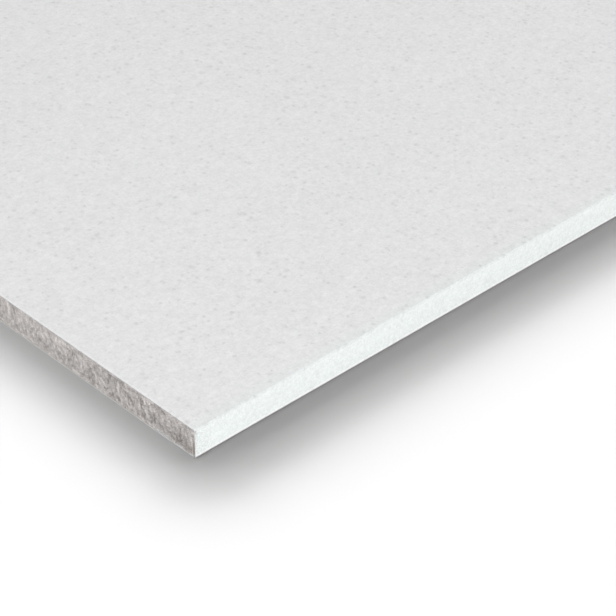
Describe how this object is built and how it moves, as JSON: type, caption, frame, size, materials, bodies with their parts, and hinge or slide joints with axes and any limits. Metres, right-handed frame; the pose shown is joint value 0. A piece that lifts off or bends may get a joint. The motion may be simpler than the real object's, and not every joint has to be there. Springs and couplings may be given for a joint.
{
  "type": "drywall sheet",
  "caption": "Flat rectangular drywall sheet: pale gypsum core between two papers, face paper wrapped round square long edges, ends cut square with the core bare.",
  "frame": {"origin": "middle of the sheet's back, on the floor it lies on", "axes": "+X along the sheet, +Y across it, +Z out of its face"},
  "size_m": [2.4, 1.2, 0.0125],
  "materials": {
    "gypsum": "matt, foamed and broken open where it is cut",
    "face_paper": "matt, pale grey-white with fine fibre specks",
    "back_paper": "matt, unbleached grey with fibre specks"
  },
  "bodies": {
    "root": {"gypsum_core": "gypsum", "face_paper": "face_paper", "back_paper": "back_paper"}
  },
  "joints": []
}
